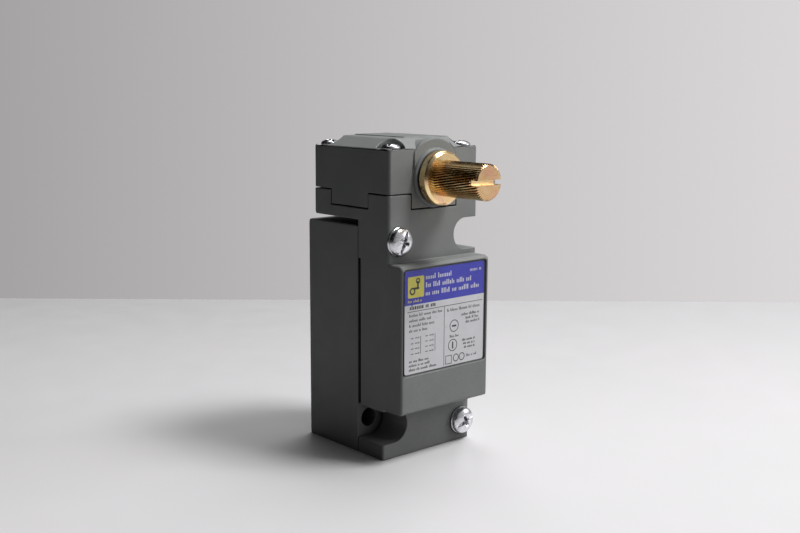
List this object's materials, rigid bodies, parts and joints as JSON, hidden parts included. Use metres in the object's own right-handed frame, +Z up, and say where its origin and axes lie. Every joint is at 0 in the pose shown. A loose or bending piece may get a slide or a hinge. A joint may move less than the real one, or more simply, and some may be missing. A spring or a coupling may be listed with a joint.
{
  "type": "limit switch",
  "caption": "Plug-in industrial limit switch with a wiring receptacle, a switch body and a rotary operating head with a knurled lever shaft.",
  "frame": {"origin": "under the middle of the whole switch, on the plane of the conduit face that it stands on", "axes": "+Z up from the conduit face to the operating head, +X to the right seen from the front, the operating shaft points to -Y"},
  "size_m": [0.0414, 0.068, 0.1077],
  "materials": {
    "casting": "fine-textured satin grey enamel on a zinc die casting",
    "label": "printed polyester film, blue heading over a white field",
    "gold_chromate": "yellow chromate over zinc-plated steel",
    "zinc_plate": "bright zinc-plated steel",
    "spring_steel": "bright drawn steel",
    "bronze": "sintered bearing bronze",
    "brass": "bright brass",
    "contact_copper": "copper alloy strip",
    "rubber": "moulded nitrile rubber",
    "black_plastic": "moulded phenolic",
    "cream_plastic": "moulded thermoset",
    "green_paint": "green-dyed steel screw"
  },
  "bodies": {
    "housing": {"receptacle": "casting", "switch_body": "casting", "operating_head": "casting", "name_plate": "label", "head_screw_1": "zinc_plate", "head_screw_2": "zinc_plate", "head_screw_3": "zinc_plate", "head_screw_4": "zinc_plate", "captive_screw_upper": "zinc_plate", "captive_screw_lower": "zinc_plate", "captive_washer_upper": "zinc_plate", "captive_washer_lower": "zinc_plate", "shaft_seal": "rubber", "front_bushing": "bronze", "rear_bushing": "bronze", "spring_cap": "brass", "spring_seat": "brass", "return_spring_lower": "spring_steel", "return_spring_upper": "spring_steel", "contact_housing": "black_plastic", "contact_base": "black_plastic", "fixed_contact_1": "contact_copper", "fixed_contact_2": "contact_copper", "fixed_contact_3": "contact_copper", "fixed_contact_4": "contact_copper", "body_gasket": "rubber", "head_gasket": "rubber", "terminal_block": "black_plastic", "socket_1": "brass", "socket_2": "brass", "socket_3": "brass", "socket_4": "brass", "terminal_screw_1": "brass", "terminal_screw_2": "brass", "terminal_screw_3": "brass", "terminal_screw_4": "brass", "ground_screw": "green_paint"},
    "shaft": {"operating_shaft": "gold_chromate", "shaft_spacer": "spring_steel", "retaining_ring": "spring_steel"},
    "plunger": {"crosshead": "spring_steel", "push_rod": "spring_steel", "contact_carrier": "cream_plastic", "contact_bridge_1": "contact_copper", "contact_bridge_2": "contact_copper", "contact_spring_1": "spring_steel", "contact_spring_2": "spring_steel"}
  },
  "joints": [
    {"name": "shaft_turn", "type": "hinge", "parent": "housing", "child": "shaft", "pos_m": [0, -0.02, 0.0944], "axis": [0, 1, 0], "range_deg": [-90, 90]},
    {"name": "plunger_slide", "type": "slide", "parent": "housing", "child": "plunger", "axis": [0, 0, -1], "range_m": [-0.00228, 0.00228], "stiffness_N_per_m": 5000, "deforming": ["return_spring_lower", "return_spring_upper"]}
  ],
  "couplings": [
    {"joint": "shaft_turn", "follows": "plunger_slide", "rad_per_m": 689.65}
  ]
}
